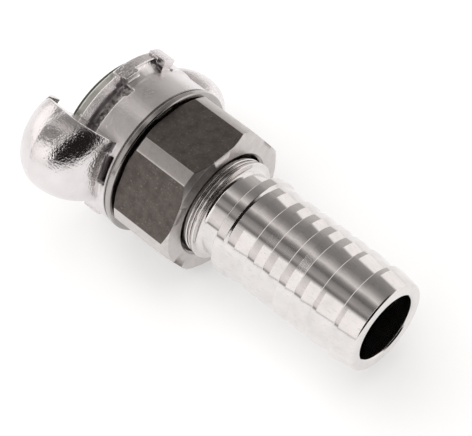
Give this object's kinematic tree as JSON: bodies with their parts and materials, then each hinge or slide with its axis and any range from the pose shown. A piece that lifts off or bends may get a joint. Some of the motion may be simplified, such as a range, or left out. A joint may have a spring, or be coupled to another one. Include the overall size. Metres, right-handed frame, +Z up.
{
  "type": "claw hose coupling",
  "caption": "Quick hose coupling with two bayonet claws round a sealed face, a hexagon union nut and a swivelling barbed hose tail.",
  "frame": {"origin": "centre of the metal sealing face, on the coupling axis", "axes": "+X along the axis from the sealing face to the hose end; +Z up with two flats of the nut facing +Z and -Z"},
  "size_m": [0.1025, 0.066, 0.0462],
  "materials": {
    "cast_steel": "blasted stainless casting, satin",
    "seal_rubber": "matte dark rubber",
    "nut_steel": "matte drawn flats and turned faces",
    "ring_steel": "bright spring steel",
    "gasket_rubber": "matte black rubber",
    "tail_steel": "bright turned and polished"
  },
  "bodies": {
    "head": {"claw_head": "cast_steel", "face_seal": "seal_rubber", "seat_gasket": "gasket_rubber"},
    "carrier": {"retaining_ring": "ring_steel"},
    "nut": {"union_nut": "nut_steel"},
    "tail": {"hose_tail": "tail_steel"}
  },
  "joints": [
    {"name": "nut_travel", "type": "slide", "parent": "head", "child": "carrier", "axis": [1, 0, 0], "range_m": [0, 0.0069]},
    {"name": "nut_turn", "type": "hinge", "parent": "carrier", "child": "nut", "pos_m": [0.03, 0, 0], "axis": [1, 0, 0], "range_deg": [0, 1080]},
    {"name": "tail_swivel", "type": "hinge", "parent": "carrier", "child": "tail", "pos_m": [0.06, 0, 0], "axis": [1, 0, 0], "continuous": true}
  ],
  "couplings": [
    {"joint": "nut_turn", "follows": "nut_travel", "rad_per_m": 2721.2}
  ]
}
